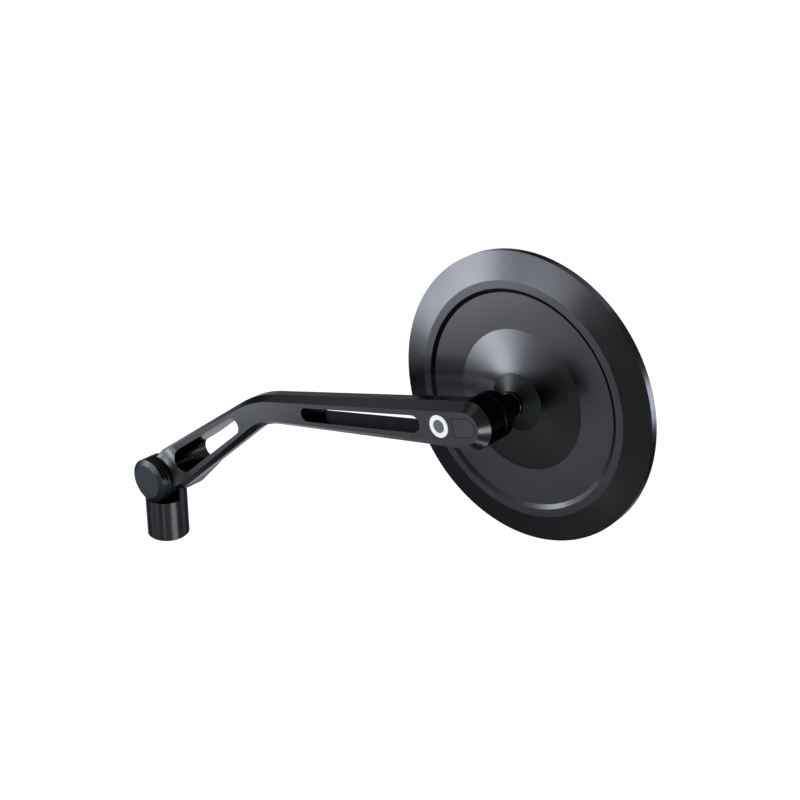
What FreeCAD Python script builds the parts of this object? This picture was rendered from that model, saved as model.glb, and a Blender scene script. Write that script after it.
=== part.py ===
import FreeCAD, Part
import math
import os
import Sketcher

# Round motorcycle mirror on a bent arm. Millimetres, +Z up.
# Origin: centre of the base post's bottom face. +X along the arm's reach, -Y towards the pivot cap,
# +Y towards the rider, who looks into the glass.

# Driving dimensions
dimensions = {
    # Base post: a turned post with a half-lap tongue on top
    "post_radius": 8.2,
    "pivot_height": 25.8,
    "tongue_thickness": 7.0,
    "post_edge": 0.5,
    "thread_hole_radius": 4.25,
    "thread_hole_depth": 12.0,
    # Pivot
    "bolt_radius": 3.0,
    "bush_radius": 4.5,
    "bolt_head_radius": 5.0,
    "bolt_head_height": 4.0,
    "bolt_hex_radius": 2.3,
    "bolt_hex_depth": 2.4,
    "washer_radius": 6.8,
    "washer_thickness": 0.55,
    "ring_bore_radius": 4.6,
    "thrust_ring_thickness": 1.6,
    "spring_ring_thickness": 1.6,
    "ring_edge": 0.25,
    "cap_thickness": 2.6,
    "cap_bevel": 1.0,
    "cap_bevel_width": 2.1,
    "cap_boss_radius": 4.4,
    "cap_roof": 1.2,
    "fold_range": 100.0,
    # Arm: end points, widths and depths
    "reach": 150.5,
    "ball_height": 94.5,
    "bend_reach": 54.3,
    "bend_height": 70.5,
    "knuckle_radius": 8.7,
    "bend_half_width": 5.3,
    "eye_radius": 8.2,
    "bend_top_radius": 50.0,
    "bend_bottom_radius": 25.0,
    "arm_face": 1.3,
    "arm_depth": 10.6,
    "knuckle_depth": 14.9,
    "eye_depth": 10.6,
    "taper_start": 14.0,
    "taper_end": 36.0,
    "bevel_depth": 3.0,
    "knuckle_bevel": 0.9,
    "bend_bevel": 1.8,
    "eye_bevel": 2.9,
    "rear_bevel": 2.2,
    "rear_bevel_depth": 3.5,
    "knuckle_length": 46.0,
    "knuckle_tail_radius": 3.0,
    "boss_height": 2.0,
    "boss_root_radius": 18.0,
    # Arm: slots, each between two round ends
    "low_slot_start": 16.8,
    "low_slot_start_radius": 4.6,
    "low_slot_end": 54.0,
    "low_slot_end_radius": 3.1,
    "high_slot_start": 22.6,
    "high_slot_start_radius": 3.0,
    "high_slot_end": 72.8,
    "high_slot_end_radius": 2.5,
    "slot_draft": 0.9,
    # Arm face: end cover, ring and screw
    "cover_back": 5.1,
    "cover_front": 3.9,
    "cover_half_height": 3.0,
    "cover_thickness": 1.2,
    "cover_gap": 0.2,
    "screw_distance": 11.2,
    "screw_ring_radius": 3.85,
    "screw_ring_thickness": 1.8,
    "screw_head_radius": 2.15,
    "screw_radius": 1.5,
    "screw_length": 6.0,
    # Ball joint
    "ball_depth": 10.0,
    "ball_radius": 5.0,
    "liner_wall": 0.85,
    "liner_mouth_radius": 3.85,
    "liner_nose_radius": 2.0,
    "cup_radius": 4.1,
    "cup_web": 1.0,
    "cup_spring_thickness": 0.5,
    "cup_spring_dish": 0.4,
    "spigot_radius": 7.0,
    "spigot_length": 2.2,
    "socket_ring_radius": 8.1,
    "socket_ring_length": 5.4,
    "socket_ring_taper": 0.8,
    "socket_lip_radius": 5.05,
    "socket_mouth_radius": 6.6,
    # Stud
    "waist_radius": 2.6,
    "waist_length": 6.0,
    "neck_radius": 3.3,
    "neck_start": 7.5,
    "neck_ring_section": 0.7,
    "stud_thread_radius": 3.0,
    # Head
    "head_offset": 20.0,
    "head_radius": 50.0,
    "rim_height": 3.0,
    "rim_edge": 0.5,
    "bevel_inner_radius": 40.7,
    "bevel_rise": 2.17,
    "step_outer_radius": 38.0,
    "step_inner_radius": 36.5,
    "disc_rise": 1.4,
    "cone_radius": 24.2,
    "hub_radius": 9.9,
    "hub_rise": 3.4,
    "hub_top_radius": 4.2,
    "hub_top_rise": 6.0,
    "glass_radius": 47.8,
    "glass_gap": 0.2,
    "glass_thickness": 1.8,
    "glass_curve_radius": 1200.0,
    "pad_edge": 0.4,
    "floor_sink": 0.3,
    "nut_pocket_radius": 6.6,
    "nut_pocket_depth": 2.7,
    "nut_hex_radius": 5.7,
    "nut_height": 2.0,
    "nut_washer_radius": 6.0,
    "nut_washer_thickness": 0.6,
    # Fits
    "running_fit": 0.05,
    "assembly_gap": 0.1,
    "swing_gap": 0.3,
    "cut_margin": 5.0,
}


class Size:
    # A length that carries its number and the sheet expression that gives it
    def __init__(self, value, text):
        self.value = value
        self.text = text

    def __add__(self, other):
        other = as_size(other)
        return Size(self.value + other.value, "(" + self.text + " + " + other.text + ")")

    def __sub__(self, other):
        other = as_size(other)
        return Size(self.value - other.value, "(" + self.text + " - " + other.text + ")")

    def __mul__(self, other):
        other = as_size(other)
        return Size(self.value * other.value, "(" + self.text + " * " + other.text + ")")

    def __truediv__(self, other):
        other = as_size(other)
        return Size(self.value / other.value, "(" + self.text + " / " + other.text + ")")

    def __neg__(self):
        return Size(-self.value, "(-1 * " + self.text + ")")


class Sizes:
    # Sizes by name, as in at.post_radius
    def __getattr__(self, name):
        return Size(dimensions[name], "sizes." + name)


def as_size(item):
    if isinstance(item, Size):
        return item
    return Size(float(item), str(item))


def root(size):
    return Size(math.sqrt(size.value), "sqrt(" + size.text + ")")


at = Sizes()
zero = as_size(0)
doc = FreeCAD.newDocument("motorcycle_mirror")
sheet = doc.addObject("Spreadsheet::Sheet", "sizes")
for row, (alias, value) in enumerate(dimensions.items(), start=1):
    sheet.set("A" + str(row), alias)
    sheet.set("B" + str(row), str(value))
    sheet.setAlias("B" + str(row), alias)
doc.recompute()


# Sketch helpers

def new_sketch(body, plane, name, origin=(zero, zero, zero)):
    sketch = body.newObject("Sketcher::SketchObject", name)
    support = [item for item in body.Origin.OriginFeatures if item.Role == plane][0]
    sketch.AttachmentSupport = (support, [""])
    sketch.MapMode = "FlatFace"
    for axis, size in zip("xyz", origin):
        sketch.setExpression("AttachmentOffset.Base." + axis, size.text)
    return sketch


def front_sketch(body, name, depth):
    # A sketch in the XZ plane, moved along +Y by depth; it faces -Y
    return new_sketch(body, "XZ_Plane", name, (zero, zero, -depth))


def fix(sketch, edge, point, axis, size):
    # Holds one coordinate of a point of the sketch at a size
    if abs(size.value) < 1e-9:
        datum_line = {"X": -2, "Y": -1}[axis]
        sketch.addConstraint(Sketcher.Constraint("PointOnObject", edge, point, datum_line))
        return
    if size.value > 0:
        rule = Sketcher.Constraint("Distance" + axis, -1, 1, edge, point, size.value)
        text = size.text
    else:
        rule = Sketcher.Constraint("Distance" + axis, edge, point, -1, 1, -size.value)
        text = (-size).text
    index = sketch.addConstraint(rule)
    sketch.setExpression("Constraints[" + str(index) + "]", text)


def fix_radius(sketch, edge, size):
    index = sketch.addConstraint(Sketcher.Constraint("Radius", edge, size.value))
    sketch.setExpression("Constraints[" + str(index) + "]", size.text)


def arc_of(centre, radius, first, last):
    # An arc anticlockwise from one point to another
    circle = Part.Circle(FreeCAD.Vector(*centre, 0), FreeCAD.Vector(0, 0, 1), radius)
    angles = [math.atan2(point[1] - centre[1], point[0] - centre[0]) for point in (first, last)]
    return Part.ArcOfCircle(circle, angles[0], angles[1])


def loop(sketch, corners):
    # A closed outline through its corners. A corner is (x, y); one that ends an arc is
    # (x, y, turn, centre x, centre y), with turn "left" or "right"
    ends = []
    for index, corner in enumerate(corners):
        start = [item.value for item in corners[index - 1][:2]]
        end = [item.value for item in corner[:2]]
        if len(corner) == 2:
            line = Part.LineSegment(FreeCAD.Vector(*start, 0), FreeCAD.Vector(*end, 0))
            edge = sketch.addGeometry(line, False)
            ends.append((edge, 1, 2))
            continue
        centre = (corner[3].value, corner[4].value)
        radius = math.dist(start, centre)
        if corner[2] == "left":
            edge = sketch.addGeometry(arc_of(centre, radius, start, end), False)
            ends.append((edge, 1, 2))
        else:
            edge = sketch.addGeometry(arc_of(centre, radius, end, start), False)
            ends.append((edge, 2, 1))
    for index, corner in enumerate(corners):
        edge, _, end_point = ends[index]
        next_edge, next_start, _ = ends[(index + 1) % len(corners)]
        sketch.addConstraint(Sketcher.Constraint("Coincident", edge, end_point, next_edge, next_start))
        if len(corner) == 2:
            fix(sketch, edge, end_point, "X", corner[0])
            fix(sketch, edge, end_point, "Y", corner[1])
            continue
        fix(sketch, edge, 3, "X", corner[3])
        fix(sketch, edge, 3, "Y", corner[4])
        across = abs(corner[0].value - corner[3].value)
        upright = abs(corner[1].value - corner[4].value)
        if across > upright:
            fix(sketch, edge, end_point, "Y", corner[1])
        else:
            fix(sketch, edge, end_point, "X", corner[0])


def round_hole(sketch, centre, radius):
    circle = Part.Circle(vector(centre), FreeCAD.Vector(0, 0, 1), radius.value)
    edge = sketch.addGeometry(circle, False)
    fix(sketch, edge, 3, "X", centre[0])
    fix(sketch, edge, 3, "Y", centre[1])
    fix_radius(sketch, edge, radius)


def hexagon(sketch, centre, radius):
    corners = []
    for step in range(6):
        angle = math.radians(60 * step)
        across = radius * round(math.cos(angle), 9)
        up = radius * round(math.sin(angle), 9)
        corners.append((centre[0] + across, centre[1] + up))
    loop(sketch, corners)


def tangent_normals(first, first_radius, second, second_radius):
    # Outward normals of the outer tangents of two circles, left of the way from first to second and right
    way = (second - first).normalize()
    left = FreeCAD.Vector(-way.y, way.x, 0)
    lean = (first_radius - second_radius) / first.distanceToPoint(second)
    spread = math.sqrt(1 - lean * lean)
    return left * spread + way * lean, left * -spread + way * lean


def vector(point):
    return FreeCAD.Vector(point[0].value, point[1].value, 0)


def touch(sketch, first, first_end, second, second_end):
    sketch.addConstraint(Sketcher.Constraint("Tangent", first, first_end, second, second_end))


def slot(sketch, first, first_radius, second, second_radius):
    # A slot between two round ends
    a = vector(first)
    b = vector(second)
    upper, lower = tangent_normals(a, first_radius.value, b, second_radius.value)
    a_upper = a + upper * first_radius.value
    a_lower = a + lower * first_radius.value
    b_upper = b + upper * second_radius.value
    b_lower = b + lower * second_radius.value
    end_a = sketch.addGeometry(arc_of(a[:2], first_radius.value, a_upper, a_lower), False)
    end_b = sketch.addGeometry(arc_of(b[:2], second_radius.value, b_lower, b_upper), False)
    side_upper = sketch.addGeometry(Part.LineSegment(a_upper, b_upper), False)
    side_lower = sketch.addGeometry(Part.LineSegment(a_lower, b_lower), False)
    touch(sketch, side_upper, 1, end_a, 1)
    touch(sketch, side_upper, 2, end_b, 2)
    touch(sketch, side_lower, 1, end_a, 2)
    touch(sketch, side_lower, 2, end_b, 1)
    for edge, point, radius in ((end_a, first, first_radius), (end_b, second, second_radius)):
        fix(sketch, edge, 3, "X", point[0])
        fix(sketch, edge, 3, "Y", point[1])
        fix_radius(sketch, edge, radius)


def corner_of(first_normal, first_offset, second_normal, second_offset):
    # Where two lines meet, each given by its normal and its distance from the origin
    cross = first_normal.x * second_normal.y - first_normal.y * second_normal.x
    x = (first_offset * second_normal.y - second_offset * first_normal.y) / cross
    y = (second_offset * first_normal.x - first_offset * second_normal.x) / cross
    return FreeCAD.Vector(x, y, 0)


pivot_point = (zero, at.pivot_height)
bend_point = (at.bend_reach, at.bend_height)
ball_point = (at.reach, at.ball_height)


def along(start, end, distance):
    # The point that lies a distance from start on the way to end
    span_x = end[0] - start[0]
    span_z = end[1] - start[1]
    length = root(span_x * span_x + span_z * span_z)
    return start[0] + span_x / length * distance, start[1] + span_z / length * distance


def arm_outline(sketch, inset_at_pivot, inset_at_bend, inset_at_ball):
    # The arm seen from the front: round ends at the pivot and the ball, straight edges, one bend.
    # The edges touch a circle about the bend point, which sets the arm's width there.
    ends = ((pivot_point, at.knuckle_radius - inset_at_pivot), (ball_point, at.eye_radius - inset_at_ball))
    half_width = at.bend_half_width - inset_at_bend
    top_radius = at.bend_top_radius - inset_at_bend
    bottom_radius = at.bend_bottom_radius + inset_at_bend
    pivot = vector(pivot_point)
    bend = vector(bend_point)
    ball = vector(ball_point)
    up_low, down_low = tangent_normals(pivot, ends[0][1].value, bend, half_width.value)
    up_high, down_high = tangent_normals(bend, half_width.value, ball, ends[1][1].value)
    reach_of = [bend.dot(normal) + half_width.value for normal in (up_low, up_high, down_low, down_high)]
    top_corner = corner_of(up_low, reach_of[0], up_high, reach_of[1])
    bottom_corner = corner_of(down_low, reach_of[2], down_high, reach_of[3])
    top_shift = top_radius.value / (1 + up_low.dot(up_high))
    top_centre = top_corner - (up_low + up_high) * top_shift
    bottom_shift = bottom_radius.value / (1 + down_low.dot(down_high))
    bottom_centre = bottom_corner + (down_low + down_high) * bottom_shift
    pivot_up = pivot + up_low * ends[0][1].value
    pivot_down = pivot + down_low * ends[0][1].value
    ball_up = ball + up_high * ends[1][1].value
    ball_down = ball + down_high * ends[1][1].value
    top_low = top_centre + up_low * top_radius.value
    top_high = top_centre + up_high * top_radius.value
    bottom_low = bottom_centre - down_low * bottom_radius.value
    bottom_high = bottom_centre - down_high * bottom_radius.value
    shapes = (
        arc_of(ball[:2], ends[1][1].value, ball_down, ball_up),
        Part.LineSegment(ball_up, top_high),
        arc_of(top_centre[:2], top_radius.value, top_high, top_low),
        Part.LineSegment(top_low, pivot_up),
        arc_of(pivot[:2], ends[0][1].value, pivot_up, pivot_down),
        Part.LineSegment(pivot_down, bottom_low),
        arc_of(bottom_centre[:2], bottom_radius.value, bottom_high, bottom_low),
        Part.LineSegment(bottom_high, ball_down),
    )
    added = [sketch.addGeometry(item, False) for item in shapes]
    eye, up_2, top, up_1, knuckle, down_1, bottom, down_2 = added
    guide = sketch.addGeometry(Part.Circle(bend, FreeCAD.Vector(0, 0, 1), half_width.value), True)
    touch(sketch, eye, 2, up_2, 1)
    touch(sketch, up_2, 2, top, 1)
    touch(sketch, top, 2, up_1, 1)
    touch(sketch, up_1, 2, knuckle, 1)
    touch(sketch, knuckle, 2, down_1, 1)
    touch(sketch, down_1, 2, bottom, 2)
    touch(sketch, bottom, 1, down_2, 1)
    touch(sketch, down_2, 2, eye, 1)
    for edge in (up_1, up_2, down_1, down_2):
        sketch.addConstraint(Sketcher.Constraint("Tangent", edge, guide))
    rounds = (
        (knuckle, pivot_point, ends[0][1]),
        (eye, ball_point, ends[1][1]),
        (guide, bend_point, half_width),
    )
    for edge, point, radius in rounds:
        fix(sketch, edge, 3, "X", point[0])
        fix(sketch, edge, 3, "Y", point[1])
        fix_radius(sketch, edge, radius)
    fix_radius(sketch, top, top_radius)
    fix_radius(sketch, bottom, bottom_radius)


# Body helpers

nodes = []


def new_body(label):
    body = doc.addObject("PartDesign::Body", label)
    body.Label = label
    nodes.append(body)
    return body


def place(item, x, y, z):
    for axis, size in zip("xyz", (x, y, z)):
        item.setExpression("Placement.Base." + axis, size.text)


def pad(body, sketch, length, towards_rear):
    feature = body.newObject("PartDesign::Pad", sketch.Name + "_pad")
    feature.Profile = sketch
    feature.Reversed = towards_rear
    feature.setExpression("Length", length.text)
    doc.recompute()
    return feature


def cut(body, sketch, length, towards_normal=False):
    # A pocket cuts against the sketch's normal unless it is turned round; it has to take something away
    before = body.Shape.Volume
    feature = body.newObject("PartDesign::Pocket", sketch.Name + "_cut")
    feature.Profile = sketch
    feature.Reversed = towards_normal
    feature.setExpression("Length", length.text)
    doc.recompute()
    if body.Shape.Volume > before - 0.01:
        raise RuntimeError(feature.Name + " cuts nothing")
    return feature


def spin(body, sketch, kind="PartDesign::Revolution"):
    feature = body.newObject(kind, sketch.Name + "_turn")
    feature.Profile = sketch
    feature.ReferenceAxis = (sketch, ["V_Axis"])
    feature.Angle = 360
    doc.recompute()
    return feature


def turned(label, corners, axis_point):
    # A turned piece: its half section (radius, y) spun about an axis along Y through axis_point (x, z)
    body = new_body(label)
    sketch = new_sketch(body, "XY_Plane", label + "_section")
    loop(sketch, corners)
    spin(body, sketch)
    place(body, axis_point[0], zero, axis_point[1])
    return body


def ring(label, inner, outer, low, high, axis_point):
    return turned(label, [(inner, low), (outer, low), (outer, high), (inner, high)], axis_point)


# Levels along Y
face = -at.arm_face
boss_front = face - at.boss_height
bevel_back = face + at.bevel_depth
arm_rear = face + at.arm_depth
knuckle_rear = face + at.knuckle_depth
eye_rear = face + at.eye_depth
ball_y = face + at.ball_depth
fork_front = -(at.washer_thickness + at.running_fit)
fork_width = at.tongue_thickness + (at.washer_thickness + at.running_fit) * 2
thrust_front = boss_front - at.thrust_ring_thickness
spring_front = thrust_front - at.spring_ring_thickness
cap_front = spring_front - at.cap_thickness
bolt_tip = cap_front + at.cap_roof + at.assembly_gap
bolt_seat = knuckle_rear - at.bolt_head_height - at.assembly_gap
liner_inner = at.ball_radius + at.running_fit
liner_outer = liner_inner + at.liner_wall
socket_radius = liner_outer + at.running_fit
spigot_floor = eye_rear - at.spigot_length
cup_floor = face + at.cover_thickness + at.cup_web
ring_rear = eye_rear + at.socket_ring_length
head_y = ball_y + at.head_offset
hub_top = head_y - at.hub_top_rise
hub_seat = head_y - at.hub_rise
glass_floor = head_y + at.floor_sink
rim_end = head_y + at.rim_height


# Base post: turned, then half-lapped front and rear to leave the tongue, with a round top

base_post = new_body("base_post")
lap_floor = at.pivot_height - at.knuckle_radius - at.swing_gap
tongue_top = at.pivot_height + at.post_radius
section = new_sketch(base_post, "XZ_Plane", "post_section")
loop(section, [
    (at.thread_hole_radius, zero),
    (at.post_radius - at.post_edge, zero),
    (at.post_radius, at.post_edge),
    (at.post_radius, tongue_top),
    (zero, tongue_top),
    (zero, at.thread_hole_depth),
    (at.thread_hole_radius, at.thread_hole_depth),
])
spin(base_post, section)
outside = at.post_radius + at.cut_margin
laps = (("post_front_lap", -outside, zero), ("post_rear_lap", at.tongue_thickness, outside))
for name, low, high in laps:
    lap = new_sketch(base_post, "XY_Plane", name, (zero, zero, lap_floor))
    loop(lap, [(-outside, low), (outside, low), (outside, high), (-outside, high)])
    cut(base_post, lap, tongue_top, towards_normal=True)
crown = front_sketch(base_post, "post_crown", -outside)
loop(crown, [
    (outside, at.pivot_height),
    (outside, tongue_top + at.cut_margin),
    (-outside, tongue_top + at.cut_margin),
    (-outside, at.pivot_height),
    (-at.post_radius, at.pivot_height),
    (at.post_radius, at.pivot_height, "right", zero, at.pivot_height),
])
cut(base_post, crown, outside * 2)
eye_hole = front_sketch(base_post, "post_bush_hole", -at.cut_margin)
round_hole(eye_hole, pivot_point, at.bush_radius + at.running_fit)
cut(base_post, eye_hole, outside * 2)


# Pivot pieces, all about the pivot axis

ring("pivot_bush", at.bolt_radius + at.running_fit, at.bush_radius, zero, at.tongue_thickness, pivot_point)
washer_bore = at.bolt_radius + at.assembly_gap
ring("front_friction_washer", washer_bore, at.washer_radius, -at.washer_thickness, zero, pivot_point)
washer_rear = at.tongue_thickness + at.washer_thickness
ring("rear_friction_washer", washer_bore, at.washer_radius, at.tongue_thickness, washer_rear, pivot_point)

pivot_bolt = turned("pivot_bolt", [
    (zero, bolt_tip),
    (at.bolt_radius - at.post_edge, bolt_tip),
    (at.bolt_radius, bolt_tip + at.post_edge),
    (at.bolt_radius, bolt_seat),
    (at.bolt_head_radius, bolt_seat),
    (at.bolt_head_radius, knuckle_rear - at.assembly_gap - at.post_edge),
    (at.bolt_head_radius - at.post_edge, knuckle_rear - at.assembly_gap),
    (zero, knuckle_rear - at.assembly_gap),
], pivot_point)
hex_socket = front_sketch(pivot_bolt, "bolt_hex", knuckle_rear - at.assembly_gap)
hexagon(hex_socket, (zero, zero), at.bolt_hex_radius)
cut(pivot_bolt, hex_socket, at.bolt_hex_depth, towards_normal=True)


def stack_ring(label, low, high):
    # A ring as wide as the knuckle, with both outer edges broken so that fine lines part the rings
    turned(label, [
        (at.ring_bore_radius, low),
        (at.knuckle_radius - at.ring_edge, low),
        (at.knuckle_radius, low + at.ring_edge),
        (at.knuckle_radius, high - at.ring_edge),
        (at.knuckle_radius - at.ring_edge, high),
        (at.ring_bore_radius, high),
    ], pivot_point)


stack_ring("thrust_ring", thrust_front, boss_front)
stack_ring("spring_ring", spring_front, thrust_front)
cap_hole = at.bolt_radius + at.running_fit
turned("pivot_cap", [
    (cap_hole, boss_front - at.assembly_gap),
    (cap_hole, cap_front + at.cap_roof),
    (zero, cap_front + at.cap_roof),
    (zero, cap_front),
    (at.knuckle_radius - at.cap_bevel_width, cap_front),
    (at.knuckle_radius, cap_front + at.cap_bevel),
    (at.knuckle_radius, spring_front - at.ring_edge),
    (at.knuckle_radius - at.ring_edge, spring_front),
    (at.cap_boss_radius, spring_front),
    (at.cap_boss_radius, boss_front - at.assembly_gap),
], pivot_point)


# Arm: the outline padded to the rear and bevelled to the front, then the bosses and the cuts

arm = new_body("arm")
rear_root = arm_rear - at.rear_bevel_depth
side = front_sketch(arm, "arm_side", bevel_back)
arm_outline(side, zero, zero, zero)
pad(arm, side, rear_root - bevel_back, towards_rear=True)


def bevelled(name, root_level, top_level, insets):
    # Tapers the outline from one level to its inset copy at another
    wide = front_sketch(arm, name + "_root", root_level)
    arm_outline(wide, zero, zero, zero)
    narrow = front_sketch(arm, name + "_top", top_level)
    arm_outline(narrow, *insets)
    feature = arm.newObject("PartDesign::AdditiveLoft", name)
    feature.Profile = wide
    feature.Sections = [narrow]
    feature.Ruled = True
    doc.recompute()


bevelled("arm_rear_bevel", rear_root, arm_rear, [at.rear_bevel] * 3)
stretch = (at.bevel_depth + at.boss_height) / at.bevel_depth
front_insets = [at.knuckle_bevel * stretch, at.bend_bevel * stretch, at.eye_bevel * stretch]
bevelled("arm_bevel", bevel_back, boss_front, front_insets)

# The front face, with a round root where it runs into the pivot boss
face_cut = new_sketch(arm, "XY_Plane", "arm_face_cut", (zero, zero, at.pivot_height))
root_run = root(at.boss_root_radius * at.boss_height * 2 - at.boss_height * at.boss_height)
root_end = at.knuckle_radius + root_run
far_end = at.reach + at.ball_height
loop(face_cut, [
    (at.knuckle_radius, boss_front - at.cut_margin),
    (far_end, boss_front - at.cut_margin),
    (far_end, face),
    (root_end, face),
    (at.knuckle_radius, boss_front, "left", root_end, face - at.boss_root_radius),
])
spin(arm, face_cut, "PartDesign::Groove")
boss = front_sketch(arm, "arm_pivot_boss", bevel_back)
round_hole(boss, pivot_point, at.knuckle_radius)
pad(arm, boss, at.bevel_depth + at.boss_height, towards_rear=False)

# The deep knuckle behind the pivot, which sweeps in to the slimmer arm in two arcs
knuckle = front_sketch(arm, "arm_knuckle", bevel_back)
tail_point = along(pivot_point, bend_point, at.knuckle_length)
slot(knuckle, pivot_point, at.knuckle_radius, tail_point, at.knuckle_tail_radius)
pad(arm, knuckle, knuckle_rear - bevel_back, towards_rear=True)
taper_run = at.taper_end - at.taper_start
taper_drop = at.knuckle_depth - at.arm_depth
taper_radius = (taper_run * taper_run + taper_drop * taper_drop) / (taper_drop * 4)
rear_cut = new_sketch(arm, "XY_Plane", "arm_rear_cut", (zero, zero, far_end))
loop(rear_cut, [
    (at.taper_start, knuckle_rear + at.cut_margin),
    (at.taper_start, knuckle_rear),
    (at.taper_start + taper_run / 2, knuckle_rear - taper_drop / 2,
     "right", at.taper_start, knuckle_rear - taper_radius),
    (at.taper_end, arm_rear, "left", at.taper_end, arm_rear + taper_radius),
    (far_end, arm_rear),
    (far_end, knuckle_rear + at.cut_margin),
])
cut(arm, rear_cut, far_end * 2)
eye_boss = front_sketch(arm, "arm_eye_boss", bevel_back)
round_hole(eye_boss, ball_point, at.eye_radius)
pad(arm, eye_boss, eye_rear - bevel_back, towards_rear=True)

# The two slots narrow towards the rear


def through_slot(name, start, start_radius, end, end_radius):
    before = arm.Shape.Volume
    wider = at.slot_draft * at.boss_height / at.knuckle_depth
    front = front_sketch(arm, name + "_front", boss_front)
    slot(front, start, start_radius + wider, end, end_radius + wider)
    rear = front_sketch(arm, name + "_rear", knuckle_rear)
    slot(rear, start, start_radius - at.slot_draft, end, end_radius - at.slot_draft)
    feature = arm.newObject("PartDesign::SubtractiveLoft", name)
    feature.Profile = front
    feature.Sections = [rear]
    feature.Ruled = True
    doc.recompute()
    if arm.Shape.Volume > before - 0.01:
        raise RuntimeError(name + " cuts nothing")


low_start = along(pivot_point, bend_point, at.low_slot_start)
low_end = along(pivot_point, bend_point, at.low_slot_end)
through_slot("arm_low_slot", low_start, at.low_slot_start_radius, low_end, at.low_slot_end_radius)
high_start = along(ball_point, bend_point, at.high_slot_start)
high_end = along(ball_point, bend_point, at.high_slot_end)
through_slot("arm_high_slot", high_start, at.high_slot_start_radius, high_end, at.high_slot_end_radius)

# The fork's gap for the tongue: round about the pivot, open from the post's own line to the folded one
gap_radius = at.post_radius + at.swing_gap
fold_rest = math.radians(180 - dimensions["fold_range"])
open_end = at.knuckle_radius + at.cut_margin


def turned_point(out, back):
    # A point given across and along the tongue's edge line when the arm is folded
    across_x = as_size(round(math.cos(fold_rest), 9))
    across_z = as_size(round(math.sin(fold_rest), 9))
    return out * across_x - back * across_z, at.pivot_height + out * across_z + back * across_x


fork_gap = front_sketch(arm, "arm_fork_gap", fork_front)
loop(fork_gap, [
    (gap_radius, at.pivot_height - open_end),
    (gap_radius, at.pivot_height),
    turned_point(gap_radius, zero) + ("left", zero, at.pivot_height),
    turned_point(gap_radius, open_end * 2),
    (-open_end * 2, at.pivot_height - open_end),
])
cut(arm, fork_gap, fork_width)
bolt_hole = front_sketch(arm, "arm_bolt_hole", boss_front - at.cut_margin)
round_hole(bolt_hole, pivot_point, at.bolt_radius + at.assembly_gap)
cut(arm, bolt_hole, knuckle_rear * 2)
head_seat = front_sketch(arm, "arm_bolt_seat", knuckle_rear)
round_hole(head_seat, pivot_point, at.bolt_head_radius + at.assembly_gap)
cut(arm, head_seat, knuckle_rear - bolt_seat, towards_normal=True)

# The ball's socket, bored from the rear
cup_hole = at.cup_radius + at.running_fit
socket_dip = root(socket_radius * socket_radius - cup_hole * cup_hole)
floor_rise = spigot_floor - ball_y
socket_edge = root(socket_radius * socket_radius - floor_rise * floor_rise)
socket = new_sketch(arm, "XY_Plane", "arm_socket", (at.reach, zero, at.ball_height))
loop(socket, [
    (zero, cup_floor),
    (cup_hole, cup_floor),
    (cup_hole, ball_y - socket_dip),
    (socket_edge, spigot_floor, "left", zero, ball_y),
    (at.spigot_radius + at.running_fit, spigot_floor),
    (at.spigot_radius + at.running_fit, eye_rear + at.cut_margin),
    (zero, eye_rear + at.cut_margin),
])
spin(arm, socket, "PartDesign::Groove")

# Recesses in the front face for the end cover, the ring and its screw


def cover_outline(sketch, gap):
    # A D: straight towards the bend, round towards the arm's tip
    half = at.cover_half_height + gap
    arm_x = at.reach - at.bend_reach
    arm_z = at.ball_height - at.bend_height
    length = root(arm_x * arm_x + arm_z * arm_z)

    def spot(ahead, above):
        x = at.reach + (arm_x * ahead - arm_z * above) / length
        z = at.ball_height + (arm_z * ahead + arm_x * above) / length
        return x, z

    nose = at.cover_front - at.cover_half_height
    loop(sketch, [
        spot(-at.cover_back - gap, half),
        spot(-at.cover_back - gap, -half),
        spot(nose, -half),
        spot(nose, half) + ("left",) + spot(nose, zero),
    ])


cover_recess = front_sketch(arm, "arm_cover_recess", face)
cover_outline(cover_recess, at.cover_gap)
cut(arm, cover_recess, at.cover_thickness)
screw_point = along(ball_point, bend_point, at.screw_distance)
ring_recess = front_sketch(arm, "arm_ring_recess", face)
round_hole(ring_recess, screw_point, at.screw_ring_radius + at.cover_gap)
cut(arm, ring_recess, at.screw_ring_thickness)
screw_hole = front_sketch(arm, "arm_screw_hole", face)
round_hole(screw_hole, screw_point, at.screw_radius + at.running_fit)
cut(arm, screw_hole, at.screw_length + at.assembly_gap)

end_cover = new_body("end_cover")
plate = front_sketch(end_cover, "cover_plate", face)
cover_outline(plate, zero)
pad(end_cover, plate, at.cover_thickness, towards_rear=True)

ring_floor = face + at.screw_ring_thickness
screw_bore = at.screw_head_radius + at.assembly_gap
ring("screw_ring", screw_bore, at.screw_ring_radius, face, ring_floor, screw_point)
turned("ring_screw", [
    (zero, face),
    (at.screw_head_radius, face),
    (at.screw_head_radius, ring_floor),
    (at.screw_radius, ring_floor),
    (at.screw_radius, face + at.screw_length),
    (zero, face + at.screw_length),
], screw_point)


# Ball joint pieces, all about the ball's axis

cup_dip = root(liner_outer * liner_outer - at.cup_radius * at.cup_radius)
spring_top = cup_floor + at.cup_spring_thickness + at.cup_spring_dish
turned("cup_spring", [
    (at.liner_nose_radius, cup_floor + at.cup_spring_dish),
    (at.cup_radius, cup_floor),
    (at.cup_radius, cup_floor + at.cup_spring_thickness),
    (at.liner_nose_radius, spring_top),
], ball_point)
turned("pressure_cup", [
    (zero, spring_top),
    (at.cup_radius, spring_top),
    (at.cup_radius, ball_y - cup_dip - at.running_fit),
    (zero, ball_y - liner_outer - at.running_fit, "right", zero, ball_y - at.running_fit),
], ball_point)

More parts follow.
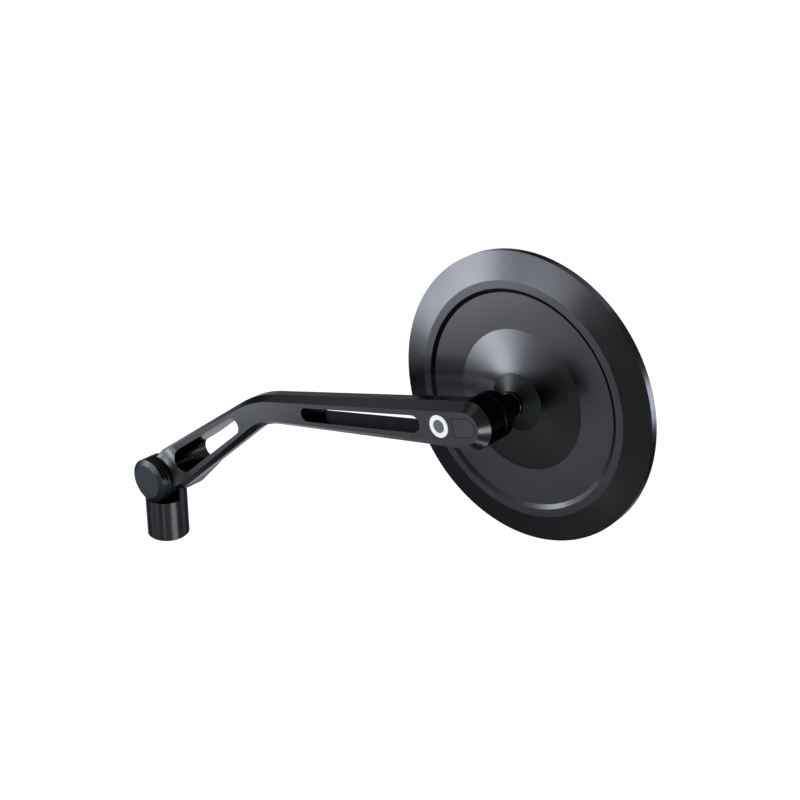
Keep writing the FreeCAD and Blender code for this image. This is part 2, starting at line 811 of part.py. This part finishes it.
mouth_rise = root(liner_inner * liner_inner - at.liner_mouth_radius * at.liner_mouth_radius)
nose_drop = root(liner_inner * liner_inner - at.liner_nose_radius * at.liner_nose_radius)
liner_scale = liner_outer / liner_inner
turned("ball_liner", [
    (at.liner_nose_radius, ball_y - nose_drop),
    (at.liner_mouth_radius, ball_y + mouth_rise, "left", zero, ball_y),
    (at.liner_mouth_radius * liner_scale, ball_y + mouth_rise * liner_scale),
    (at.liner_nose_radius * liner_scale, ball_y - nose_drop * liner_scale, "right", zero, ball_y),
], ball_point)

lip_rise = root(socket_radius * socket_radius - at.socket_lip_radius * at.socket_lip_radius)
turned("socket_ring", [
    (socket_radius, ball_y, "right", zero, ball_y),
    (socket_radius, spigot_floor),
    (at.spigot_radius, spigot_floor),
    (at.spigot_radius, eye_rear),
    (at.socket_ring_radius - at.ring_edge, eye_rear),
    (at.socket_ring_radius, eye_rear + at.ring_edge),
    (at.socket_ring_radius, ring_rear - at.socket_ring_taper * 2),
    (at.socket_ring_radius - at.socket_ring_taper, ring_rear),
    (at.socket_mouth_radius, ring_rear),
    (at.socket_lip_radius, ball_y + lip_rise),
], ball_point)

waist_rise = root(at.ball_radius * at.ball_radius - at.waist_radius * at.waist_radius)
stud_end = glass_floor - at.running_fit
turned("ball_stud", [
    (zero, ball_y - at.ball_radius),
    (at.waist_radius, ball_y + waist_rise, "left", zero, ball_y),
    (at.waist_radius, ball_y + at.waist_length),
    (at.neck_radius, ball_y + at.neck_start),
    (at.neck_radius, hub_top),
    (at.stud_thread_radius, hub_top),
    (at.stud_thread_radius, stud_end),
    (zero, stud_end),
], ball_point)

neck_ring = doc.addObject("Part::Torus", "neck_ring")
neck_ring.Label = "neck_ring"
neck_ring.setExpression("Radius1", (at.neck_radius + at.neck_ring_section).text)
neck_ring.setExpression("Radius2", at.neck_ring_section.text)
neck_ring.Placement.Rotation = FreeCAD.Rotation(FreeCAD.Vector(1, 0, 0), 90)
place(neck_ring, at.reach, hub_top - at.neck_ring_section, at.ball_height)
nodes.append(neck_ring)


# Mirror head, all about the ball's axis

stud_hole = at.stud_thread_radius + at.running_fit
turned("hub_cone", [
    (stud_hole, hub_top),
    (at.hub_top_radius, hub_top),
    (at.hub_radius, hub_seat),
    (stud_hole, hub_seat),
], ball_point)

glass_hole = at.glass_radius + at.glass_gap
pocket_floor = glass_floor - at.nut_pocket_depth
turned("mirror_housing", [
    (stud_hole, hub_seat),
    (at.hub_radius, hub_seat),
    (at.cone_radius, head_y - at.disc_rise),
    (at.step_inner_radius, head_y - at.disc_rise),
    (at.step_outer_radius, head_y - at.bevel_rise),
    (at.bevel_inner_radius, head_y - at.bevel_rise),
    (at.head_radius, head_y),
    (at.head_radius, rim_end - at.rim_edge),
    (at.head_radius - at.rim_edge, rim_end),
    (glass_hole, rim_end),
    (glass_hole, glass_floor),
    (at.nut_pocket_radius, glass_floor),
    (at.nut_pocket_radius, pocket_floor),
    (stud_hole, pocket_floor),
], ball_point)

nut_seat = pocket_floor + at.nut_washer_thickness
nut_washer_bore = at.stud_thread_radius + at.assembly_gap
ring("nut_washer", nut_washer_bore, at.nut_washer_radius, pocket_floor, nut_seat, ball_point)
stud_nut = new_body("stud_nut")
flats = front_sketch(stud_nut, "nut_flats", nut_seat)
hexagon(flats, (zero, zero), at.nut_hex_radius)
pad(stud_nut, flats, at.nut_height, towards_rear=True)
nut_hole = front_sketch(stud_nut, "nut_hole", nut_seat)
round_hole(nut_hole, (zero, zero), stud_hole)
cut(stud_nut, nut_hole, at.nut_height)
place(stud_nut, at.reach, zero, at.ball_height)

pad_top = glass_floor + at.pad_edge
glass_bulge = at.glass_curve_radius - root(
    at.glass_curve_radius * at.glass_curve_radius - at.glass_radius * at.glass_radius)
curve_centre = pad_top + glass_bulge - at.glass_curve_radius
turned("glass_pad", [
    (zero, glass_floor),
    (at.glass_radius, glass_floor),
    (at.glass_radius, pad_top),
    (zero, pad_top + glass_bulge, "left", zero, curve_centre),
], ball_point)
turned("mirror_glass", [
    (zero, pad_top + glass_bulge),
    (at.glass_radius, pad_top, "right", zero, curve_centre),
    (at.glass_radius, pad_top + at.glass_thickness),
    (zero, pad_top + glass_bulge + at.glass_thickness, "left", zero, curve_centre + at.glass_thickness),
], ball_point)


# Check every object and write one file for each sub-part

doc.recompute()
for item in doc.Objects:
    if "Invalid" in item.State or "Error" in item.State:
        raise RuntimeError(item.Label + " failed: " + ", ".join(item.State))
for node in nodes:
    if node.Shape.isNull() or not node.Shape.isValid() or node.Shape.Volume <= 0:
        raise RuntimeError(node.Label + " has no valid shape")
os.makedirs("parts", exist_ok=True)
for node in nodes:
    node.Shape.exportStep(os.path.join("parts", node.Label + ".step"))
    print(node.Label, len(node.Shape.Solids), round(node.Shape.Volume, 2))
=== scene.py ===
import math

import bmesh
import bpy
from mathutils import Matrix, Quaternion, Vector


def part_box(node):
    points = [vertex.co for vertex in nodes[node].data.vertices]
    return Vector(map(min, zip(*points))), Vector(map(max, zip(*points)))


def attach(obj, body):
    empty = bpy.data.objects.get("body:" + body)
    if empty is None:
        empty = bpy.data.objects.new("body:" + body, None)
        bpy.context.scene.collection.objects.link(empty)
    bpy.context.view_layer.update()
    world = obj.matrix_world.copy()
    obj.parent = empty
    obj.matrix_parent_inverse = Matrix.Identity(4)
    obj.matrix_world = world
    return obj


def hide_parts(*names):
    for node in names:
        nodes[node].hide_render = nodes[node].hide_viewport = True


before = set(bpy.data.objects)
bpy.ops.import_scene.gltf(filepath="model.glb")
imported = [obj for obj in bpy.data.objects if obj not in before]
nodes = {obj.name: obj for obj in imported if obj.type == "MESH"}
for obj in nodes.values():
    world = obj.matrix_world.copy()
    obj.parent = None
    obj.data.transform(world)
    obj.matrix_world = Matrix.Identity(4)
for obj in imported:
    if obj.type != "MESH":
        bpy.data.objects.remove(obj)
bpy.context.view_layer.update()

hubLow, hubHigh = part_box("hub_cone")
headAxis = (hubLow + hubHigh) / 2  # the ball, the hub and the glass share this axis
print("frame loaded:", len(nodes), "nodes")


# node helpers: one material is a small tree of nodes around a Principled shader
def newTree(name):
    material = bpy.data.materials.new(name)
    material.use_nodes = True
    tree = material.node_tree
    return material, tree, tree.nodes["Principled BSDF"]


def addNode(tree, kind, **values):
    node = tree.nodes.new(kind)
    for key, value in values.items():
        setattr(node, key, value)
    return node


def noise(tree, scale, detail=2.0, roughness=0.5):
    place = addNode(tree, "ShaderNodeTexCoord").outputs["Object"]
    node = addNode(tree, "ShaderNodeTexNoise")
    node.inputs["Scale"].default_value = scale
    node.inputs["Detail"].default_value = detail
    node.inputs["Roughness"].default_value = roughness
    tree.links.new(place, node.inputs["Vector"])
    return node.outputs["Fac"]


noiseSpan = (0.3, 0.7)  # most of a noise's values lie between these


def spread(tree, source, low, high, span=noiseSpan):  # maps the span of a source onto low to high
    node = addNode(tree, "ShaderNodeMapRange")
    node.inputs["From Min"].default_value, node.inputs["From Max"].default_value = span
    node.inputs["To Min"].default_value = low
    node.inputs["To Max"].default_value = high
    tree.links.new(source, node.inputs["Value"])
    return node.outputs["Result"]


def blendColours(tree, source, first, second):
    node = addNode(tree, "ShaderNodeMix", data_type="RGBA")
    node.inputs["A"].default_value = (*first, 1)
    node.inputs["B"].default_value = (*second, 1)
    tree.links.new(source, node.inputs["Factor"])
    return node.outputs["Result"]


def bump(tree, source, depth, strength):
    node = addNode(tree, "ShaderNodeBump")
    node.inputs["Distance"].default_value = depth
    node.inputs["Strength"].default_value = strength
    tree.links.new(source, node.inputs["Height"])
    return node.outputs["Normal"]


def cloudyFinish(name, dark, light, roughness, look):  # clouds vary colour and roughness, a fine grain bumps the skin
    material, tree, shader = newTree(name)
    cloud = noise(tree, look["cloudScale"], look["cloudDetail"], look["cloudRoughness"])
    tree.links.new(blendColours(tree, cloud, dark, light), shader.inputs["Base Color"])
    tree.links.new(spread(tree, cloud, *roughness), shader.inputs["Roughness"])
    grain = noise(tree, look["grainScale"])
    tree.links.new(bump(tree, grain, look["grainDepth"], look["grainStrength"]), shader.inputs["Normal"])
    shader.inputs["Metallic"].default_value = look["metallic"]
    return material, shader


# black anodised aluminium: a dark satin skin with slight cloudiness
anodiseLook = {
    "dark": (0.0100, 0.0102, 0.0103), "light": (0.0128, 0.0130, 0.0132), "edgeTint": (0.45, 0.45, 0.47),
    "roughness": (0.22, 0.28), "cloudScale": 45.0, "cloudDetail": 4.0, "cloudRoughness": 0.6,
    "grainScale": 4200.0, "grainDepth": 0.00002, "grainStrength": 0.08, "metallic": 1.0,
}


def anodise(name, **changes):
    look = {**anodiseLook, **changes}
    material, shader = cloudyFinish(name, look["dark"], look["light"], look["roughness"], look)
    shader.inputs["Specular Tint"].default_value = (*look["edgeTint"], 1)
    return material


# steel and bronze pieces, blackened or bare
steelLook = {
    "roughnessSpread": 0.05, "cloudScale": 300.0, "cloudDetail": 3.0, "cloudRoughness": 0.5,
    "grainScale": 2600.0, "grainDepth": 0.00002, "grainStrength": 0.25, "metallic": 1.0,
}
# moulded plastic and rubber, and the ground edge of the glass
plasticLook = {
    "roughnessSpread": 0.04, "cloudScale": 120.0, "cloudDetail": 3.0, "cloudRoughness": 0.5,
    "grainScale": 1500.0, "grainDepth": 0.00002, "grainStrength": 0.2, "metallic": 0.0,
}


def plain(name, dark, light, roughness, look):
    reach = look["roughnessSpread"]
    return cloudyFinish(name, dark, light, (roughness - reach, roughness + reach), look)[0]


# silvered glass: a clear coat over a bright, very smooth metal
silverLook = {
    "dark": (0.80, 0.83, 0.85), "light": (0.84, 0.87, 0.88), "roughness": (0.012, 0.022),
    "hazeScale": 14.0, "hazeDetail": 3.0, "coat": 0.6, "coatRoughness": 0.01,
}


def silvered(name):
    material, tree, shader = newTree(name)
    haze = noise(tree, silverLook["hazeScale"], silverLook["hazeDetail"])
    tree.links.new(blendColours(tree, haze, silverLook["dark"], silverLook["light"]), shader.inputs["Base Color"])
    tree.links.new(spread(tree, haze, *silverLook["roughness"]), shader.inputs["Roughness"])
    shader.inputs["Metallic"].default_value = 1.0
    shader.inputs["Coat Weight"].default_value = silverLook["coat"]
    shader.inputs["Coat Roughness"].default_value = silverLook["coatRoughness"]
    return material


capLook = {"dark": (0.0076, 0.0088, 0.0087), "light": (0.0098, 0.0112, 0.0110), "roughness": (0.34, 0.40)}
ringLook = {"dark": (0.0070, 0.0079, 0.0076), "light": (0.0091, 0.0101, 0.0098), "roughness": (0.32, 0.38)}
sealLook = {"dark": (0.0040, 0.0042, 0.0042), "light": (0.0065, 0.0068, 0.0068)}
madeFinishes = [
    anodise("postBlack"),
    anodise("armBlack"),
    anodise("headBlack"),
    anodise("capBlack", **capLook),
    anodise("ringBlack", **ringLook),
    anodise("sealBlack", **sealLook),
    anodise("inlayBlack", roughness=(0.33, 0.38)),
    plain("blackSteel", (0.05, 0.05, 0.055), (0.08, 0.08, 0.085), 0.35, steelLook),
    plain("bearingBronze", (0.38, 0.25, 0.11), (0.46, 0.31, 0.14), 0.4, steelLook),
    plain("screwGrey", (0.017, 0.019, 0.019), (0.024, 0.026, 0.026), 0.5, steelLook),
    plain("slipPlastic", (0.03, 0.03, 0.03), (0.05, 0.05, 0.05), 0.45, plasticLook),
    plain("ringWhite", (0.78, 0.78, 0.79), (0.84, 0.84, 0.85), 0.35, plasticLook),
    plain("padBlack", (0.02, 0.02, 0.02), (0.035, 0.035, 0.035), 0.7, plasticLook),
    plain("glassEdge", (0.09, 0.15, 0.13), (0.13, 0.19, 0.17), 0.2, plasticLook),
    plain("beadRubber", (0.008, 0.008, 0.008), (0.016, 0.016, 0.016), 0.55, plasticLook),
    silvered("mirrorSilver"),
]
finishes = {material.name: material for material in madeFinishes}
nodeFinish = {
    "base_post": "postBlack", "pivot_bush": "bearingBronze", "front_friction_washer": "slipPlastic",
    "rear_friction_washer": "slipPlastic", "arm": "armBlack", "pivot_bolt": "blackSteel", "pivot_cap": "capBlack",
    "thrust_ring": "ringBlack", "spring_ring": "ringBlack", "end_cover": "inlayBlack", "screw_ring": "ringWhite",
    "ring_screw": "screwGrey", "pressure_cup": "slipPlastic", "cup_spring": "blackSteel", "socket_ring": "ringBlack",
    "ball_liner": "slipPlastic", "ball_stud": "ringBlack", "neck_ring": "sealBlack", "hub_cone": "ringBlack",
    "mirror_housing": "headBlack", "nut_washer": "blackSteel", "stud_nut": "blackSteel", "glass_pad": "padBlack",
    "mirror_glass": "mirrorSilver",
}
for nodeName, finishName in nodeFinish.items():
    for nodeSlot in nodes[nodeName].material_slots:
        nodeSlot.material = finishes[finishName]
print("finishes on", len(nodeFinish), "nodes")

sharpAngle = math.radians(35)  # edges that turn more than this stay sharp


def pieceFrom(shape, name, body, slotName, *finishNames):  # turns a bmesh into a piece that rides on a body
    bmesh.ops.recalc_face_normals(shape, faces=shape.faces)
    mesh = bpy.data.meshes.new(name)
    shape.to_mesh(mesh)
    shape.free()
    mesh.shade_smooth()
    mesh.set_sharp_from_angle(angle=sharpAngle)
    for finishName in finishNames:
        mesh.materials.append(finishes[finishName])
    piece = bpy.data.objects.new(name, mesh)
    bpy.context.collection.objects.link(piece)
    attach(piece, body)
    return piece


def joinRings(shape, first, second):  # faces between two rings of points; a ring of one point is a pole
    for step in range(max(len(first), len(second))):
        after = step + 1
        corners = [first[step % len(first)], second[step % len(second)]]
        corners += [second[after % len(second)], first[after % len(first)]]
        shape.faces.new(dict.fromkeys(corners))


def headRing(shape, radius, depth, steps):  # a ring of points about the head's axis, or its pole
    if radius == 0:
        return [shape.verts.new((headAxis.x, depth, headAxis.z))]
    ring = []
    for step in range(steps):
        angle = math.tau * step / steps
        across, up = radius * math.cos(angle), radius * math.sin(angle)
        ring.append(shape.verts.new((headAxis.x + across, depth, headAxis.z + up)))
    return ring


# the glass: one smooth dome of silvered glass with a ground edge
lens = {"radius": 0.0478, "thickness": 0.0018, "curve": 1.2, "edge": 0.00025, "rings": 16, "steps": 192}
lensBack, lensTop = [corner.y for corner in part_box("mirror_glass")]
lensShape = bmesh.new()
lensSection = []
flatEnd = lens["radius"] - lens["edge"]
for ring in range(lens["rings"] + 1):
    radius = flatEnd * ring / lens["rings"]
    lensSection.append((radius, lensTop - lens["curve"] + math.sqrt(lens["curve"] ** 2 - radius ** 2)))
lensSection.append((lens["radius"], lensSection[-1][1] - lens["edge"]))
lensSection.append((lens["radius"], lensBack + lens["edge"]))
lensSection.append((flatEnd, lensBack))
lensSection.append((0, lensTop - lens["thickness"]))
lensRings = [headRing(lensShape, radius, depth, lens["steps"]) for radius, depth in lensSection]
for first, second in zip(lensRings, lensRings[1:]):
    joinRings(lensShape, first, second)
edgeStart = lens["rings"] * lens["steps"]  # the dome's faces come first, then the edge and the back
for face in list(lensShape.faces)[edgeStart:]:
    face.material_index = 1
mirrorLens = pieceFrom(lensShape, "mirrorLens", "head", "mirror", "mirrorSilver", "glassEdge")
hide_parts("mirror_glass")

# the bead: a thin rubber line that closes the gap between the glass and the rim
bead = {"radius": 0.0479, "section": 0.00032, "sink": 0.00045, "sides": 10, "steps": 192}
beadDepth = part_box("mirror_housing")[1].y - bead["sink"]
beadShape = bmesh.new()
beadRings = []
for side in range(bead["sides"]):
    angle = math.tau * side / bead["sides"]
    radius = bead["radius"] + bead["section"] * math.cos(angle)
    depth = beadDepth + bead["section"] * math.sin(angle)
    beadRings.append(headRing(beadShape, radius, depth, bead["steps"]))
for first, second in zip(beadRings, beadRings[1:] + beadRings[:1]):
    joinRings(beadShape, first, second)
glassBead = pieceFrom(beadShape, "glassBead", "head", "rubber", "beadRubber")

# the thread in the post's hole: one ridge, set in the wall, that winds up the bore and fades out at both ends
thread = {
    "bore": 0.00428, "crest": 0.00415, "pitch": 0.00125, "flank": 0.00045, "start": 0.0007,
    "turns": 8, "steps": 48, "leastFade": 0.02,
}
threadShape = bmesh.new()
threadRings = []
threadSteps = thread["turns"] * thread["steps"]
for step in range(threadSteps + 1):
    angle = math.tau * step / thread["steps"]
    height = thread["start"] + thread["flank"] + thread["pitch"] * step / thread["steps"]
    fade = min(1, step / thread["steps"], (threadSteps - step) / thread["steps"])
    crest = thread["bore"] - (thread["bore"] - thread["crest"]) * max(fade, thread["leastFade"])
    ridge = []
    for radius, rise in ((thread["bore"], -thread["flank"]), (crest, 0), (thread["bore"], thread["flank"])):
        ridge.append(threadShape.verts.new((radius * math.cos(angle), radius * math.sin(angle), height + rise)))
    threadRings.append(ridge)
for first, second in zip(threadRings, threadRings[1:]):
    joinRings(threadShape, first, second)
threadShape.faces.new(threadRings[0])
threadShape.faces.new(threadRings[-1])
postThread = pieceFrom(threadShape, "postThread", "foot", "black_post", "postBlack")
print("pieces:", mirrorLens.name, glassBead.name, postThread.name)

# white studio: floor and world show white to the camera and in reflections, and the floor keeps soft shadows
studio = {
    "floorSize": 8.0, "floorHeight": -0.13, "floorColour": (0.80, 0.80, 0.80), "floorRoughness": 0.9,
    "floorGlow": 0.48, "skyFill": 0.65, "skyWhite": 1.0, "white": (1, 1, 1, 1),
}


def rayRange(tree, low, high):  # the high value for camera, glossy and transmission rays, the low one for the rest
    path = addNode(tree, "ShaderNodeLightPath")
    total = path.outputs["Is Camera Ray"]
    for rayName in ("Is Glossy Ray", "Is Transmission Ray"):
        either = addNode(tree, "ShaderNodeMath", operation="MAXIMUM")
        tree.links.new(total, either.inputs[0])
        tree.links.new(path.outputs[rayName], either.inputs[1])
        total = either.outputs["Value"]
    return spread(tree, total, low, high, (0.0, 1.0))


floorMesh = bpy.data.meshes.new("studioFloor")
half = studio["floorSize"] / 2
floorCorners = [(-half, -half, 0), (half, -half, 0), (half, half, 0), (-half, half, 0)]
floorMesh.from_pydata(floorCorners, [], [(0, 1, 2, 3)])
floor = bpy.data.objects.new("studioFloor", floorMesh)
floor.location.z = studio["floorHeight"]  # the mirror is held at its post, clear of the floor
bpy.context.collection.objects.link(floor)
floorMaterial, floorTree, floorShader = newTree("floorWhite")
floorShader.inputs["Base Color"].default_value = (*studio["floorColour"], 1)
floorShader.inputs["Roughness"].default_value = studio["floorRoughness"]
floorShader.inputs["Specular IOR Level"].default_value = 0.0
floorShader.inputs["Emission Color"].default_value = studio["white"]
floorGlow = rayRange(floorTree, 0.0, studio["floorGlow"])
floorTree.links.new(floorGlow, floorShader.inputs["Emission Strength"])
floorMesh.materials.append(floorMaterial)

world = bpy.data.worlds.new("studioWorld")
bpy.context.scene.world = world
world.use_nodes = True
background = world.node_tree.nodes["Background"]
background.inputs["Color"].default_value = studio["white"]
worldGlow = rayRange(world.node_tree, studio["skyFill"], studio["skyWhite"])
world.node_tree.links.new(worldGlow, background.inputs["Strength"])


def lampAt(place, aim, size, power, roll=0, card=True):  # a card shows only in reflections
    return {"place": place, "aim": aim, "size": size, "power": power, "roll": roll, "card": card}


lampColour = (0.87, 0.89, 1.0)
lampPlan = {  # place, aim and size in metres, power in watts, roll in degrees
    "topSoftbox": lampAt((-0.10, -0.30, 1.10), (0.10, 0.0, 0.06), (0.70, 0.70), 4.0, card=False),
    "stepCard": lampAt((-0.43, -0.41, 0.165), (0.16, 0.03, 0.06), (0.13, 0.17), 3.3),
    "coneCard": lampAt((-0.37, -0.49, -0.06), (0.15, 0.03, 0.10), (0.25, 0.08), 4.4),
    "bevelCard": lampAt((-0.465, -0.42, 0.02), (0.12, 0.03, 0.13), (0.44, 0.05), 6.5, roll=40),
    "frontCard": lampAt((-0.22, -0.65, 0.12), (0.10, 0.0, 0.08), (0.20, 0.10), 2.4),
    "leftCard": lampAt((-0.36, -0.05, 0.33), (0.08, 0.0, 0.08), (0.20, 0.20), 0.33),
    "armCard": lampAt((-0.255, -0.265, -0.11), (0.07, 0.0, 0.075), (0.07, 0.09), 0.5),
    "postCard": lampAt((0.20, -0.02, -0.095), (0.0, 0.0, 0.01), (0.10, 0.06), 0.33),
    "footCard": lampAt((0.11, -0.20, -0.10), (0.0, 0.0, 0.01), (0.04, 0.05), 0.055),
    "rimCard": lampAt((0.66, 0.62, 0.02), (0.20, 0.03, 0.10), (0.20, 0.28), 12.0),
    "frontRightCard": lampAt((0.88, -0.46, -0.04), (0.10, 0.0, 0.07), (0.50, 0.16), 7.0),
    "backTopCard": lampAt((0.10, 0.75, 0.62), (0.10, 0.0, 0.07), (0.60, 0.20), 3.8),
    "discCard": lampAt((-0.025, -0.26, -0.11), (0.16, 0.03, 0.08), (0.10, 0.14), 0.19),
    "discTopCard": lampAt((-0.215, -0.43, -0.11), (0.14, 0.03, 0.12), (0.12, 0.07), 0.26),
    "capCard": lampAt((-0.15, -0.17, -0.11), (0.0, 0.0, 0.02), (0.10, 0.06), 0.035),
    "postRearCard": lampAt((0.11, 0.20, -0.115), (0.0, 0.0, 0.01), (0.14, 0.06), 0.09),
    "rootCard": lampAt((-0.10, -0.24, 0.045), (0.005, 0.0, 0.035), (0.05, 0.05), 0.09),
    "hubCard": lampAt((0.52, -0.38, -0.10), (0.178, 0.027, 0.083), (0.18, 0.10), 4.5),
}
for lampName, plan in lampPlan.items():
    lamp = bpy.data.lights.new(lampName, "AREA")
    lamp.shape = "RECTANGLE"
    lamp.size, lamp.size_y = plan["size"]
    lamp.energy = plan["power"]
    lamp.color = lampColour
    lampObject = bpy.data.objects.new(lampName, lamp)
    lampObject.location = plan["place"]
    way = Vector(plan["aim"]) - Vector(plan["place"])
    turn = way.to_track_quat("-Z", "Y") @ Quaternion((0, 0, 1), math.radians(plan["roll"]))
    lampObject.rotation_euler = turn.to_euler()
    lampObject.visible_camera = False
    lampObject.visible_diffuse = not plan["card"]
    bpy.context.collection.objects.link(lampObject)
print("studio lit by", len(lampPlan), "lamps")

# the photo's camera, in metres, degrees and millimetres
cameraPlan = {
    "place": (0.4391, -0.3585, 0.3191), "turn": (64.93, 0.0, 41.49), "lens": 73.03, "sensor": 36.0, "near": 0.01,
}
camera = bpy.data.cameras.new("photoCamera")
camera.lens = cameraPlan["lens"]
camera.sensor_width = cameraPlan["sensor"]
camera.clip_start = cameraPlan["near"]
cameraObject = bpy.data.objects.new("photoCamera", camera)
cameraObject.location = cameraPlan["place"]
cameraObject.rotation_euler = [math.radians(angle) for angle in cameraPlan["turn"]]
bpy.context.collection.objects.link(cameraObject)
bpy.context.scene.camera = cameraObject
bpy.context.scene.view_settings.view_transform = "Standard"
print("camera placed")
